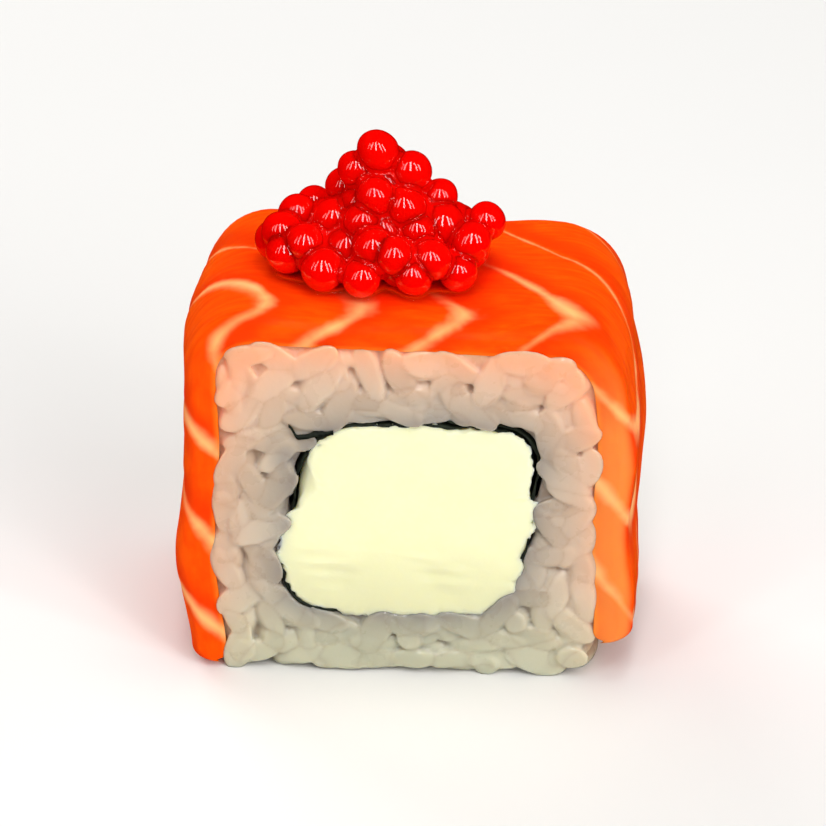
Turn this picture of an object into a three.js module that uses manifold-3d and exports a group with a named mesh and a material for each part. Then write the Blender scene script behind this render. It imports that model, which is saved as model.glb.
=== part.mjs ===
// One piece of an inside-out sushi roll: pressed rice around a nori sheet and a bar of cream cheese,
// a slice of salmon draped over the top and both sides, and a spoonful of red roe on top.
// Units are millimetres. +Z is up, the roll's length runs along Y, and one cut faces -Y.

import * as THREE from "three";
import { mergeVertices } from "three/addons/utils/BufferGeometryUtils.js";
import Module from "manifold-3d";

const wasm = await Module();
wasm.setup();

// Driving dimensions of the rice block
const PIECE_LENGTH = 24; // from cut to cut
const RICE_WIDTH = 34.8;
const RICE_HEIGHT = 34.3;
const RICE_TOP_RADIUS = 3.4;
const RICE_FOOT_RADIUS = 2.6;
const RICE_RELIEF = 0.9; // how far the grains stand out of the packed core at a cut
const RICE_OUTLINE_POINTS = 68;
const LENGTH_STEPS = 3; // of the rice, the nori and the cheese alike

// One cooked grain of short rice
const GRAIN_LENGTH = 6.3;
const GRAIN_WIDTH = 3.0;
const GRAIN_DEPTH = 2.7;
const GRAIN_SPACING = 2.9; // least distance between two grain centres on a cut
const GRAIN_SINK = 0.35; // how deep below the core's face the deepest grain centres lie
const GRAIN_CLEARANCE = 0.12; // to the tunnel and to the outside of the block
const GRAIN_TRIES = 4000;
const GRAIN_SEED = 7;

// The filling, measured across the cut
const CHEESE_WIDTH = 22.6;
const CHEESE_HEIGHT = 19.2;
const CHEESE_CENTRE_Z = 16.6;
const CHEESE_SQUARENESS = 6; // exponent of the rounded outline
const CHEESE_SHAVED_ANGLE = THREE.MathUtils.degToRad(160); // the upper left corner is shaved off
const CHEESE_SHAVED_REACH = 11.2; // from the centre to that shaved side
const CHEESE_SCOOPED_ANGLE = THREE.MathUtils.degToRad(-42); // the lower right corner is worn round
const CHEESE_SCOOPED_REACH = 12.9;
const CHEESE_DRAG = 0.3; // depth of the knife's drag marks on a cut
const CHEESE_GRID = 10;
const NORI_THICKNESS = 0.45;
const NORI_START = THREE.MathUtils.degToRad(28); // where the sheet's inner end lies
const NORI_TURN_STEPS = 64;
const NORI_OVERLAP_STEPS = 8; // how far its outer end passes the inner one
const FILLING_GAP = 0.18; // between cheese, nori and rice

// The salmon slice, a flat slab before it is draped
const SALMON_THICKNESS = 3.2;
const SALMON_SAG = 0.12; // share by which the hanging flaps are thicker, and the top thinner
const SALMON_GAP = 0.25;
const SALMON_LEFT_END = 0.1; // height of the slice's lower edge on the left
const SALMON_RIGHT_END = 3.5; // and on the right, where the rice shows below it
const SALMON_LENGTH_STEPS = 42;
const SALMON_WIDTH_STEPS = 8;
const SALMON_UNEVEN = 0.05; // share by which the thickness varies from place to place

// The roe heap
const ROE_DIAMETER = 3.8;
const ROE_CENTRE_X = -2.7;
const ROE_CENTRE_Y = -0.9;
const ROE_HALF_LENGTH = 10; // to the bead centres at the foot of the heap
const ROE_HALF_WIDTH = 6.6;
const ROE_HEIGHT = 15.2; // limit for the beads' upper sides at the peak
const ROE_STEEPNESS = 0.88; // how fast that limit falls from the peak
const ROE_SHOULDER = 6.9; // and where it stops falling
const ROE_PEAK_X = 0.4; // the heap's peak, from the middle of its foot
const ROE_PEAK_Y = 0.8;
const ROE_SPREAD = 0.14; // share by which the beads differ in size
const ROE_SQUASH = 0.8; // bead to bead distance, as a share of touching spheres
const ROE_COUNT = 110; // beads on the spoon, of which those that find a place stay
const ROE_TRIES = 120; // places tried for each bead
const ROE_POOL = 0.5; // depth of the set juice that holds the foot of the heap
const ROE_GAP = 0.25;
const ROE_SEED = 6;

// How the hands and the knife shaped the block
const CUT_SQUEEZE = 0.025; // share by which a cut end is narrower than the middle
const SIDE_BULGE = 0.55;
const SIDE_WAVE = 0.3;
const TOP_SLOPE = 0.022; // the top falls towards +X

const HALF_LENGTH = PIECE_LENGTH / 2;
const HALF_WIDTH = RICE_WIDTH / 2;
const TAU = 2 * Math.PI;

// Small helpers

function randomFrom(seed) {
  let state = seed >>> 0;
  return () => {
    state = (state + 0x6d2b79f5) >>> 0;
    let mixed = Math.imul(state ^ (state >>> 15), state | 1);
    mixed ^= mixed + Math.imul(mixed ^ (mixed >>> 7), mixed | 61);
    return ((mixed ^ (mixed >>> 14)) >>> 0) / 4294967296;
  };
}

function solidOf(geometry) {
  const bare = new THREE.BufferGeometry();
  bare.setAttribute("position", geometry.getAttribute("position"));
  bare.setIndex(geometry.index);
  const welded = mergeVertices(bare, 1e-4);
  const mesh = new wasm.Mesh({
    numProp: 3,
    vertProperties: welded.attributes.position.array,
    triVerts: new Uint32Array(welded.index.array),
  });
  return new wasm.Manifold(mesh);
}

function geometryOf(solid) {
  const mesh = solid.getMesh();
  const geometry = new THREE.BufferGeometry();
  geometry.setAttribute("position", new THREE.BufferAttribute(mesh.vertProperties, 3));
  geometry.setIndex(new THREE.BufferAttribute(mesh.triVerts, 1));
  return geometry;
}

function movePoints(geometry, move) {
  const positions = geometry.getAttribute("position");
  const point = new THREE.Vector3();
  for (let i = 0; i < positions.count; i++) {
    point.fromBufferAttribute(positions, i);
    move(point);
    positions.setXYZ(i, point.x, point.y, point.z);
  }
  return geometry;
}

// A section drawn in X and Z, drawn out along Y about the middle of the piece.
function drawnOut(shape, length, steps) {
  const geometry = new THREE.ExtrudeGeometry(shape, { depth: length, steps, bevelEnabled: false });
  return geometry.translate(0, 0, -length / 2).rotateX(Math.PI / 2);
}

function isInside(outline, x, z) {
  let inside = false;
  for (let i = 0, j = outline.length - 1; i < outline.length; j = i++) {
    const a = outline[i];
    const b = outline[j];
    const crosses = a.y > z !== b.y > z;
    if (crosses && x < ((b.x - a.x) * (z - a.y)) / (b.y - a.y) + a.x) inside = !inside;
  }
  return inside;
}

// Pressing: the block bulges half way along, its sides wave, and its top falls to one side.
function press(point) {
  const end = Math.abs(point.y / HALF_LENGTH) ** 3;
  const height = THREE.MathUtils.clamp(point.z / RICE_HEIGHT, 0, 1);
  const across = point.x / HALF_WIDTH;
  const bulge = SIDE_BULGE * Math.sin(Math.PI * height);
  const wave = SIDE_WAVE * Math.sin(10 * height + 0.9 * across + 0.08 * point.y);
  point.z -= CUT_SQUEEZE * end * point.z * 0.6 + TOP_SLOPE * point.x * height;
  point.x += across * (bulge + wave) - CUT_SQUEEZE * end * point.x;
}

// The rice's section

function riceOutline() {
  const outline = new THREE.Path();
  const top = RICE_HEIGHT - RICE_TOP_RADIUS;
  const shoulder = HALF_WIDTH - RICE_TOP_RADIUS;
  const foot = HALF_WIDTH - RICE_FOOT_RADIUS;
  outline.moveTo(-foot, 0);
  outline.lineTo(foot, 0);
  outline.absarc(foot, RICE_FOOT_RADIUS, RICE_FOOT_RADIUS, -Math.PI / 2, 0, false);
  outline.absarc(shoulder, top, RICE_TOP_RADIUS, 0, Math.PI / 2, false);
  outline.absarc(-shoulder, top, RICE_TOP_RADIUS, Math.PI / 2, Math.PI, false);
  outline.absarc(-foot, RICE_FOOT_RADIUS, RICE_FOOT_RADIUS, Math.PI, 1.5 * Math.PI, false);
  return outline.getSpacedPoints(RICE_OUTLINE_POINTS).slice(0, -1);
}

// The filling's section, as a distance from its centre in each direction

function cheeseReach(angle) {
  const across = Math.abs(Math.cos(angle)) / (CHEESE_WIDTH / 2);
  const up = Math.abs(Math.sin(angle)) / (CHEESE_HEIGHT / 2);
  const shaved = Math.max(0, Math.cos(angle - CHEESE_SHAVED_ANGLE)) / CHEESE_SHAVED_REACH;
  const scooped = Math.max(0, Math.cos(angle - CHEESE_SCOOPED_ANGLE)) / CHEESE_SCOOPED_REACH;
  const rounded = Math.hypot(...[across, up, shaved, scooped].map((side) => side ** (CHEESE_SQUARENESS / 2)));
  const uneven = 1 + 0.012 * Math.sin(5 * angle + 0.6) + 0.01 * Math.sin(9 * angle + 2);
  return uneven / rounded ** (2 / CHEESE_SQUARENESS);
}

// A point of the filling's outline in that direction, moved out by an offset.
function aroundFilling(angle, offset) {
  const at = (a) => {
    const reach = cheeseReach(a);
    return new THREE.Vector2(reach * Math.cos(a), reach * Math.sin(a) + CHEESE_CENTRE_Z);
  };
  const ahead = at(angle + 0.06).sub(at(angle - 0.06)).normalize();
  return at(angle).add(new THREE.Vector2(ahead.y, -ahead.x).multiplyScalar(offset));
}

// How far the nori's inner face stands off the cheese, along its turn from the inner end.
function noriStandoff(turn) {
  const lift = THREE.MathUtils.smoothstep(turn, TAU - 0.35, TAU);
  return FILLING_GAP + lift * (NORI_THICKNESS + FILLING_GAP);
}

function noriSection() {
  const inner = [];
  const outer = [];
  for (let i = 0; i <= NORI_TURN_STEPS + NORI_OVERLAP_STEPS; i++) {
    const turn = (TAU * i) / NORI_TURN_STEPS;
    const standoff = noriStandoff(turn);
    inner.push(aroundFilling(NORI_START + turn, standoff));
    outer.push(aroundFilling(NORI_START + turn, standoff + NORI_THICKNESS));
  }
  return new THREE.Shape([...outer, ...inner.reverse()]);
}

// The tunnel in the rice clears the nori, and stands further out where the sheet lies double.
function tunnelOutline() {
  const points = [];
  for (let i = 0; i < NORI_TURN_STEPS; i++) {
    const turn = (TAU * i) / NORI_TURN_STEPS;
    const isDouble = i <= NORI_OVERLAP_STEPS + 1;
    const standoff = noriStandoff(isDouble ? TAU : turn) + NORI_THICKNESS + FILLING_GAP;
    points.push(aroundFilling(NORI_START + turn, standoff));
  }
  return points;
}

// Rice: a packed core with the grains that show at the cuts and below the right flap fused on

function grain(length) {
  const geometry = new THREE.SphereGeometry(1, 6, 4);
  return geometry.scale(GRAIN_WIDTH / 2, length / 2, GRAIN_DEPTH / 2);
}

function grainLiesClear(x, z, angle, length, outline, tunnel) {
  for (let i = 0; i < 16; i++) {
    const turn = (TAU * i) / 16;
    const along = (length / 2 + GRAIN_CLEARANCE) * Math.cos(turn);
    const aside = (GRAIN_WIDTH / 2 + GRAIN_CLEARANCE) * Math.sin(turn);
    const px = x + along * Math.cos(angle) - aside * Math.sin(angle);
    const pz = z + along * Math.sin(angle) + aside * Math.cos(angle);
    if (!isInside(outline, px, Math.max(pz, 0.2)) || isInside(tunnel, px, pz)) return false;
  }
  return true;
}

// Grains over one cut, spread by dart throwing: a grain that finds no room is turned, then shortened.
// A grain may reach below the foot, where the board cuts it level.
function grainsOnCut(side, draw, outline, tunnel) {
  const centres = [];
  const grains = [];
  for (let i = 0; i < GRAIN_TRIES; i++) {
    const x = (draw() - 0.5) * RICE_WIDTH;
    const z = draw() * RICE_HEIGHT;
    const first = draw() * Math.PI;
    const length = GRAIN_LENGTH * (i < GRAIN_TRIES / 2 ? 1 : 0.68);
    if (centres.some((centre) => Math.hypot(centre.x - x, centre.y - z) < GRAIN_SPACING)) continue;
    const turns = [first, first + Math.PI / 3, first + (2 * Math.PI) / 3];
    const angle = turns.find((turn) => grainLiesClear(x, z, turn, length, outline, tunnel));
    if (angle === undefined) continue;
    centres.push(new THREE.Vector2(x, z));
    const upright = new THREE.Matrix4().makeBasis(
      new THREE.Vector3(-Math.sin(angle), 0, Math.cos(angle)),
      new THREE.Vector3(Math.cos(angle), 0, Math.sin(angle)),
      new THREE.Vector3(0, 1, 0),
    );
    const tilted = grain(length).rotateX((draw() - 0.5) * 0.5);
    const depth = HALF_LENGTH - RICE_RELIEF - GRAIN_SINK * draw();
    grains.push(tilted.applyMatrix4(upright).translate(x, side * depth, z));
  }
  return grains;
}

// Grains lying along the foot on the right, where the slice stops short.
function grainsBelowFlap(draw) {
  const count = Math.floor(PIECE_LENGTH / (GRAIN_LENGTH * 0.8));
  return Array.from({ length: count }, (_, i) => {
    const y = ((i + 0.5) / count - 0.5) * (PIECE_LENGTH - GRAIN_LENGTH * 0.35);
    const rise = SALMON_RIGHT_END / 2 + 0.1 + 0.2 * draw();
    return grain(GRAIN_LENGTH * 0.85)
      .rotateX(0.25 * (draw() - 0.5))
      .translate(HALF_WIDTH - 0.5 * GRAIN_WIDTH + 0.55, y, rise);
  });
}

function riceSolid(outline, tunnel) {
  const section = new THREE.Shape(outline);
  section.holes.push(new THREE.Path([...tunnel].reverse()));
  let rice = solidOf(drawnOut(section, PIECE_LENGTH - 2 * RICE_RELIEF, LENGTH_STEPS));
  const draw = randomFrom(GRAIN_SEED);
  const grains = [
    ...grainsOnCut(-1, draw, outline, tunnel),
    ...grainsOnCut(1, draw, outline, tunnel),
    ...grainsBelowFlap(draw),
  ];
  for (const one of grains) rice = rice.add(solidOf(one));
  // The knife leaves both cuts level, and the board leaves the foot flat.
  const room = new THREE.BoxGeometry(2 * RICE_WIDTH, PIECE_LENGTH, RICE_HEIGHT);
  return rice.intersect(solidOf(room.translate(0, 0, RICE_HEIGHT / 2)));
}

// Cream cheese: a bar whose section follows the filling's outline, with drag marks on its cuts

function cheeseGeometry() {
  const bar = new THREE.BoxGeometry(2, PIECE_LENGTH, 2, CHEESE_GRID, LENGTH_STEPS, CHEESE_GRID);
  return movePoints(bar, (point) => {
    const ring = Math.max(Math.abs(point.x), Math.abs(point.z));
    const angle = Math.atan2(point.z * CHEESE_HEIGHT, point.x * CHEESE_WIDTH);
    const reach = ring * cheeseReach(angle);
    const drag = Math.sin(0.55 * point.z * CHEESE_HEIGHT + 1.4 * point.x) * Math.cos(2.2 * point.x);
    const isCut = Math.abs(point.y) > HALF_LENGTH - 0.01;
    if (isCut) point.y -= Math.sign(point.y) * CHEESE_DRAG * (0.5 + 0.5 * drag);
    point.x = reach * Math.cos(angle);
    point.z = reach * Math.sin(angle) + CHEESE_CENTRE_Z;
  });
}

// Salmon: a flat slab with rounded outer edges, draped round the rice

function salmonRoute() {
  const route = new THREE.Path();
  const top = RICE_HEIGHT - RICE_TOP_RADIUS;
  const shoulder = HALF_WIDTH - RICE_TOP_RADIUS;
  route.moveTo(-HALF_WIDTH, SALMON_LEFT_END);
  route.lineTo(-HALF_WIDTH, top);
  route.absarc(-shoulder, top, RICE_TOP_RADIUS, Math.PI, Math.PI / 2, true);
  route.absarc(shoulder, top, RICE_TOP_RADIUS, Math.PI / 2, 0, true);
  route.lineTo(HALF_WIDTH, SALMON_RIGHT_END);
  return route;
}

const SALMON_LENGTH = salmonRoute().getLength();

function salmonThickness(along, y) {
  const hanging = Math.cos((TAU * along) / SALMON_LENGTH);
  const patchy = Math.sin(0.47 * along + 0.33 * y);
  return SALMON_THICKNESS * (1 + SALMON_SAG * hanging + SALMON_UNEVEN * patchy);
}

function salmonGeometry() {
  const route = salmonRoute();
  const slab = new THREE.BoxGeometry(1, 2, 1, SALMON_LENGTH_STEPS, SALMON_WIDTH_STEPS, 2);
  return movePoints(slab, (point) => {
    const share = point.x + 0.5;
    const y = HALF_LENGTH * Math.sin((Math.PI / 2) * point.y);
    const ragged = 0.004 * (1 + Math.sin(0.4 * y + 1));
    const along = SALMON_LENGTH * (share + (share < 0.5 ? ragged : -ragged) * Math.abs(2 * share - 1) ** 4);
    const nearEnd = Math.min(share, 1 - share) * SALMON_LENGTH_STEPS;
    const roundedEnd = 0.58 + 0.42 * Math.min(1, nearEnd);
    const roundedCut = 1 - 0.5 * Math.abs(y / HALF_LENGTH) ** 24;
    const depth = (point.z + 0.5) * salmonThickness(along, y) * roundedEnd * roundedCut;
    const at = route.getPointAt(along / SALMON_LENGTH);
    const ahead = route.getTangentAt(along / SALMON_LENGTH);
    point.x = at.x - ahead.y * (SALMON_GAP + depth);
    point.y = y;
    point.z = at.y + ahead.x * (SALMON_GAP + depth);
  });
}

// Height of the slice's upper face on the flat of the top.
function salmonTop(x, y) {
  const toFlat = RICE_HEIGHT - RICE_TOP_RADIUS - SALMON_LEFT_END + (Math.PI / 2) * RICE_TOP_RADIUS;
  const along = toFlat + x + HALF_WIDTH - RICE_TOP_RADIUS;
  return RICE_HEIGHT + SALMON_GAP + salmonThickness(along, y);
}

// Roe: beads dropped one by one into a peaked heap, over a smaller core standing in its juice

function heapHeight(x, y) {
  const away = Math.hypot((x - ROE_PEAK_X) / ROE_HALF_LENGTH, (y - ROE_PEAK_Y) / ROE_HALF_WIDTH);
  return Math.max(ROE_HEIGHT * (1 - ROE_STEEPNESS * away), ROE_SHOULDER * (1 - 0.15 * away ** 2));
}

function restingHeight(beads, x, y, radius) {
  let z = radius;
  for (const bead of beads) {
    const touch = ROE_SQUASH * (bead.radius + radius);
    const apart = Math.hypot(bead.x - x, bead.y - y);
    if (apart < touch) z = Math.max(z, bead.z + Math.sqrt(touch ** 2 - apart ** 2));
  }
  return z;
}

// Each bead takes the lowest place found under the heap's outer height.
function roeBeads() {
  const draw = randomFrom(ROE_SEED);
  const beads = [];
  for (let count = 0; count < ROE_COUNT; count++) {
    const radius = (ROE_DIAMETER / 2) * (1 + ROE_SPREAD * (draw() - 0.5));
    let place = null;
    for (let i = 0; i < ROE_TRIES; i++) {
      const turn = TAU * draw();
      const reach = Math.sqrt(draw());
      const x = ROE_HALF_LENGTH * reach * Math.cos(turn);
      const y = ROE_HALF_WIDTH * reach * Math.sin(turn);
      const z = restingHeight(beads, x, y, radius);
      const fits = z + radius < Math.max(heapHeight(x, y), 2 * radius + 0.1);
      if (fits && (!place || z < place.z)) place = { x, y, z, radius };
    }
    if (place) beads.push(place);
  }
  return beads;
}

function roeCore() {
  const profile = [
    new THREE.Vector2(0, 0),
    new THREE.Vector2(0.5, 0),
    new THREE.Vector2(1, 0),
    new THREE.Vector2(1, ROE_POOL),
  ];
  for (let i = 0; i <= 4; i++) {
    const rise = (Math.PI / 2) * (i / 4);
    const height = ROE_POOL + 0.2 + 0.42 * ROE_HEIGHT * Math.sin(rise);
    profile.push(new THREE.Vector2(i < 4 ? 0.66 * Math.cos(rise) : 0, height));
  }
  const dome = new THREE.LatheGeometry(profile, 16).rotateX(Math.PI / 2);
  return dome.scale(ROE_HALF_LENGTH, ROE_HALF_WIDTH, 1);
}

function roeSolid() {
  let heap = solidOf(roeCore());
  for (const bead of roeBeads()) {
    const ball = new THREE.SphereGeometry(bead.radius, 8, 5).rotateX(Math.PI / 2);
    heap = heap.add(solidOf(ball.translate(bead.x, bead.y, bead.z)));
  }
  return heap;
}

function restOnSalmon(point) {
  point.x += ROE_CENTRE_X;
  point.y += ROE_CENTRE_Y;
  point.z += salmonTop(point.x, point.y) + ROE_GAP;
}

// Assembly

const FINISHES = {
  rice: { color: 0xe4d6c6, roughness: 0.45, metalness: 0 },
  nori: { color: 0x141a14, roughness: 0.6, metalness: 0 },
  cream_cheese: { color: 0xfcf9dc, roughness: 0.55, metalness: 0 },
  salmon: { color: 0xfa5a0c, roughness: 0.3, metalness: 0 },
  roe: { color: 0xd90a04, roughness: 0.12, metalness: 0 },
};

function pressedMesh(name, geometry) {
  const mesh = new THREE.Mesh(movePoints(geometry, press), new THREE.MeshStandardMaterial(FINISHES[name]));
  mesh.geometry.computeVertexNormals();
  mesh.name = name;
  return mesh;
}

const outline = riceOutline();
const tunnel = tunnelOutline();
const piece = new THREE.Group();
piece.name = "sushi_roll_piece";
piece.add(
  pressedMesh("rice", geometryOf(riceSolid(outline, tunnel))),
  pressedMesh("nori", drawnOut(noriSection(), PIECE_LENGTH - 0.3, LENGTH_STEPS)),
  pressedMesh("cream_cheese", cheeseGeometry()),
  pressedMesh("salmon", salmonGeometry()),
  pressedMesh("roe", movePoints(geometryOf(roeSolid()), restOnSalmon)),
);

// The origin is the middle of the foot.
const box = new THREE.Box3().setFromObject(piece, true);
piece.position.set(-(box.min.x + box.max.x) / 2, -(box.min.y + box.max.y) / 2, -box.min.z);

export default piece;
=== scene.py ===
"""One piece of an inside-out sushi roll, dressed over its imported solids.

Pressed rice goes round a nori sheet and a bar of cream cheese, a salmon slice lies over the top and
both sides, and red roe stands on it in a little juice. Pieces are modelled straight, in millimetres,
then pressed into the shape that the hands and the knife gave the roll, and brought to metres.
"""

import math
import random

import bpy
import numpy as np
from mathutils import Euler, Matrix, Vector, noise


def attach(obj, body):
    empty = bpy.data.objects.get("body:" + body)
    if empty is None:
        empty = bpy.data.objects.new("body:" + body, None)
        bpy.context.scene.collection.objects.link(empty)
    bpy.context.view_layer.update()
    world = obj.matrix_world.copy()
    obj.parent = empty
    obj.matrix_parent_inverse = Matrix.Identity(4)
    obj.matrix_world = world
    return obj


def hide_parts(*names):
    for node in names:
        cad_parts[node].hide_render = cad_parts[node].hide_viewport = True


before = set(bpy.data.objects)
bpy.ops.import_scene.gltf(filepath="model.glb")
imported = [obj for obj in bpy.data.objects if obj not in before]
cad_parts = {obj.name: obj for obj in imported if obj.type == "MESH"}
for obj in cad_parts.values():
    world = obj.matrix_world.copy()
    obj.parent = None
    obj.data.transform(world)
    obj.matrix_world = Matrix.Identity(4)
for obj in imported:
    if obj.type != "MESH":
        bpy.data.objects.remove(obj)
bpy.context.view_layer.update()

# The rice block, in millimetres
PIECE_LENGTH = 24.0  # from cut to cut
RICE_WIDTH = 34.8
RICE_HEIGHT = 34.3
RICE_TOP_RADIUS = 3.4
RICE_FOOT_RADIUS = 2.6
RICE_RELIEF = 0.9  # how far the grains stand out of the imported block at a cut
RICE_PLATE = 2.2  # depth of the block that is modelled with the grains of each cut
CUT_VOXEL = 0.18  # fineness of the rice at the cuts
MIDDLE_VOXEL = 0.4  # and between them
GRAIN_SIZE = (2.8, 2.5, 6.2)

# The filling
CHEESE_WIDTH = 22.6
CHEESE_HEIGHT = 19.2
CHEESE_CENTRE_Z = 16.6
CHEESE_SQUARENESS = 6.0  # exponent of the rounded outline
CHEESE_SHAVED_ANGLE = math.radians(160)  # the upper left corner is shaved off
CHEESE_SHAVED_REACH = 11.2  # from the centre to that shaved side
CHEESE_SCOOPED_ANGLE = math.radians(-42)  # the lower right corner is worn round
CHEESE_SCOOPED_REACH = 12.9
CHEESE_WAVES = ((0.012, 5, 0.6), (0.01, 9, 2))  # depth, number round the bar and start of each
NORI_THICKNESS = 0.45
NORI_START = math.radians(28)  # where the sheet's inner end lies
NORI_OVERLAP = math.radians(45)  # how far its outer end passes the inner one
NORI_CLIMB = 0.35  # turn in which the outer end climbs onto the inner one
NORI_FOLD = 4.2  # length of the corner that stands out into the rice
NORI_FOLD_ANGLE = math.radians(126)
NORI_BARE = math.radians(225)  # the grains stand back from the sheet here
FILLING_GAP = 0.18  # between cheese, nori and rice
SHADED_POCKET = (-11.0, 22.8)  # X and Z of a patch of painted shade in the rice, below the folded corner, that stands in for a shadowed hollow

# The salmon slice
SALMON_THICKNESS = 3.2
SALMON_SAG = 0.12  # share by which the hanging flaps are thicker, and the top thinner
SALMON_UNEVEN = 0.05  # share by which the thickness varies from place to place
SALMON_GAP = 0.05
SALMON_LEFT_END = 0.1  # height of the slice's lower edge on the left
SALMON_RIGHT_END = 3.5  # and on the right, where the rice shows below it
FAT_SPACING = 9.4
FAT_SHIFT = 0.15
FAT_APEX_Y = -9.0  # where the lines turn back
FAT_BEND = 1.6  # how roundly they turn
FAT_LEAN = 1.3  # how far they lean over for each millimetre down through the slice
FAT_WANDER = 1.3

# The roe heap
ROE_DIAMETER = 3.8
ROE_CENTRE = (-2.7, -0.9)
ROE_HALF_LENGTH = 10.0  # to the bead centres at the foot of the heap
ROE_HALF_WIDTH = 6.6
ROE_HEIGHT = 15.2  # limit for the beads' upper sides at the peak
ROE_STEEPNESS = 0.88  # how fast that limit falls from the peak
ROE_SHOULDER = 6.9  # where it stops falling
ROE_SHOULDER_FALL = 0.15  # and how much lower the heap is at its rim
ROE_PEAK = (0.4, 0.8)  # the heap's peak, from the middle of its foot
ROE_SPREAD = 0.14  # share by which the beads differ in size
ROE_SQUASH = 0.8  # distance of dropped beads, as a share of touching spheres
ROE_COUNT = 110  # beads on the spoon, of which those that find a place stay
ROE_TRIES = 120  # places tried for each bead
ROE_HEADROOM = 0.1  # a bead lying on the salmon always fits
ROE_GAP = 0.25
ROE_SEED = 6

# How the hands and the knife shaped the block
CUT_SQUEEZE = 0.025  # share by which a cut end is narrower than the middle
CUT_LOWERING = 0.6  # share of that squeeze that lowers the end too
SIDE_BULGE = 0.55
SIDE_WAVE = 0.3
WAVE_UP, WAVE_ACROSS, WAVE_ALONG = 10, 0.9, 0.08  # how fast the wave runs each way
TOP_SLOPE = 0.022  # the top falls towards +X

HALF_LENGTH = PIECE_LENGTH / 2
HALF_WIDTH = RICE_WIDTH / 2
TAU = 2 * math.pi
QUARTER = math.pi / 2
MM = 0.001
SEED = 5  # of the grains' and beads' random places


# Bench: the tools that every piece is modelled with

def clear_bench():
    if bpy.context.object and bpy.context.object.mode != "OBJECT":
        bpy.ops.object.mode_set(mode="OBJECT")
    bpy.ops.object.select_all(action="DESELECT")


def take(piece):
    clear_bench()
    piece.select_set(True)
    bpy.context.view_layer.objects.active = piece
    return piece


def started(name):
    """The primitive that was just added, under its own name and with its place in its mesh."""
    piece = bpy.context.object
    piece.name = name
    piece.data.name = name
    bpy.ops.object.transform_apply(location=True, rotation=True, scale=True)
    return piece


def finish_with(piece, kind, **settings):
    take(piece)
    bpy.ops.object.modifier_add(type=kind)
    modifier = piece.modifiers[-1]
    for key, value in settings.items():
        setattr(modifier, key, value)
    bpy.ops.object.modifier_apply(modifier=modifier.name)


def select_edges(piece, wanted):
    """In edit mode with only those edges selected whose two end points the rule takes."""
    take(piece)
    bpy.ops.object.mode_set(mode="EDIT")
    bpy.ops.mesh.select_mode(type="EDGE")
    bpy.ops.mesh.select_all(action="DESELECT")
    bpy.ops.object.mode_set(mode="OBJECT")
    points = piece.data.vertices
    for edge in piece.data.edges:
        a, b = (points[i].co for i in edge.vertices)
        edge.select = wanted(a, b)
    bpy.ops.object.mode_set(mode="EDIT")


def points_of(piece):
    flat = np.empty(len(piece.data.vertices) * 3)
    piece.data.vertices.foreach_get("co", flat)
    return flat.reshape(-1, 3)


def set_points(piece, points):
    piece.data.vertices.foreach_set("co", np.asarray(points, np.float32).ravel())
    piece.data.update()


def add_attribute(piece, name, kind, values):
    attribute = piece.data.attributes.new(name, kind, "POINT")
    field = {"FLOAT": "value", "FLOAT_VECTOR": "vector", "FLOAT_COLOR": "color"}[kind]
    attribute.data.foreach_set(field, np.asarray(values, np.float32).ravel())


def copies_at(pattern, places):
    """The points of one small pattern piece at each of many 4x4 places."""
    points = points_of(pattern)
    return [points @ np.array(place)[:3, :3].T + np.array(place)[:3, 3] for place in places]


def joined(name, pattern, copies):
    """One mesh of all those copies, in place of the pattern piece."""
    faces = [tuple(face.vertices) for face in pattern.data.polygons]
    size = len(pattern.data.vertices)
    all_faces = [tuple(number * size + i for i in face) for number in range(len(copies)) for face in faces]
    mesh = bpy.data.meshes.new(name)
    mesh.from_pydata(np.concatenate(copies).tolist(), [], all_faces)
    piece = bpy.data.objects.new(name, mesh)
    bpy.context.scene.collection.objects.link(piece)
    bpy.data.objects.remove(pattern)
    return piece


SEED_SHIFT = (17.3, 5.1, 29.7)  # from one seed's noise to the next


def uneven(points, size, seed):
    """Smooth noise from -1 to 1 at each point, with lumps of about that size."""
    shift = Vector([step * seed for step in SEED_SHIFT])
    return np.array([noise.noise(Vector(p) / size + shift) for p in points])


def smoothstep(values, low, high):
    share = np.clip((np.asarray(values, float) - low) / (high - low), 0, 1)
    return share * share * (3 - 2 * share)


def hump(distance, width):
    """1 at no distance, falling away softly to both sides."""
    return np.exp(-((distance / width) ** 2))


def rounding(distance, radius):
    """How far a rounded edge has fallen away at a distance in from it."""
    inward = np.clip(radius - distance, 0, radius)
    return radius - np.sqrt(radius**2 - inward**2)


def press(points):
    """The block bulges half way along, its sides wave, and its top falls to one side."""
    x, y, z = np.asarray(points, float).T
    end = np.abs(y / HALF_LENGTH) ** 3
    height = np.clip(z / RICE_HEIGHT, 0, 1)
    across = x / HALF_WIDTH
    bulge = SIDE_BULGE * np.sin(np.pi * height)
    wave = SIDE_WAVE * np.sin(WAVE_UP * height + WAVE_ACROSS * across + WAVE_ALONG * y)
    pressed_z = z - CUT_SQUEEZE * end * z * CUT_LOWERING - TOP_SLOPE * x * height
    pressed_x = x + across * (bulge + wave) - CUT_SQUEEZE * end * x
    return np.stack([pressed_x, y, pressed_z], 1)


def serve(piece, material, node=None):
    """Presses a straight piece, brings it to metres, and sets it on the part."""
    set_points(piece, press(points_of(piece)) * MM)
    take(piece)
    bpy.ops.object.shade_smooth()
    piece.data.materials.clear()
    piece.data.materials.append(material)
    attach(piece, "root")
    if node:
        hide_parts(node)
    return piece


# Sections across the cut

TANGENT_STEP = 0.06  # turn to each side that gives the outline's direction
TUNNEL_STEP = (0.18, 0.08)  # turns past the sheet's outer end, between which the tunnel steps down


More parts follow.
